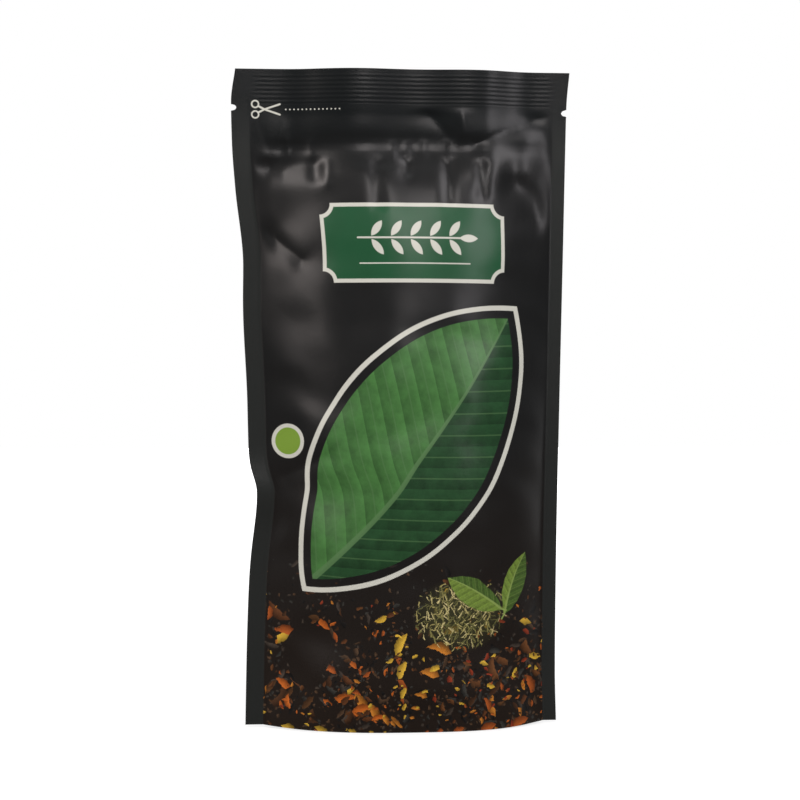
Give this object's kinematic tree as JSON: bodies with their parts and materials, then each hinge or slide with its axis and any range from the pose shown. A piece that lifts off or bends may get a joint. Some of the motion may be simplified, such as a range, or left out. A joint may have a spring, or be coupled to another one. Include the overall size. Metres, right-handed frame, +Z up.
{
  "type": "stand-up tea pouch",
  "caption": "Filled stand-up pouch of loose tea in dark satin film, with ribbed top seal, tear notches, side seals and an opened bottom gusset.",
  "frame": {"origin": "on the surface that the pouch stands on, under the middle of its bounding box", "axes": "+Z up along the pouch's height, +X to the right of the printed front, and the printed front faces -Y"},
  "size_m": [0.1252, 0.0394, 0.241],
  "materials": {
    "printed_film": "satin laminated film, dark charcoal ground with printed fields of green, cream and warm tea colours"
  },
  "bodies": {
    "root": {"tea_pouch": "printed_film"}
  },
  "joints": []
}
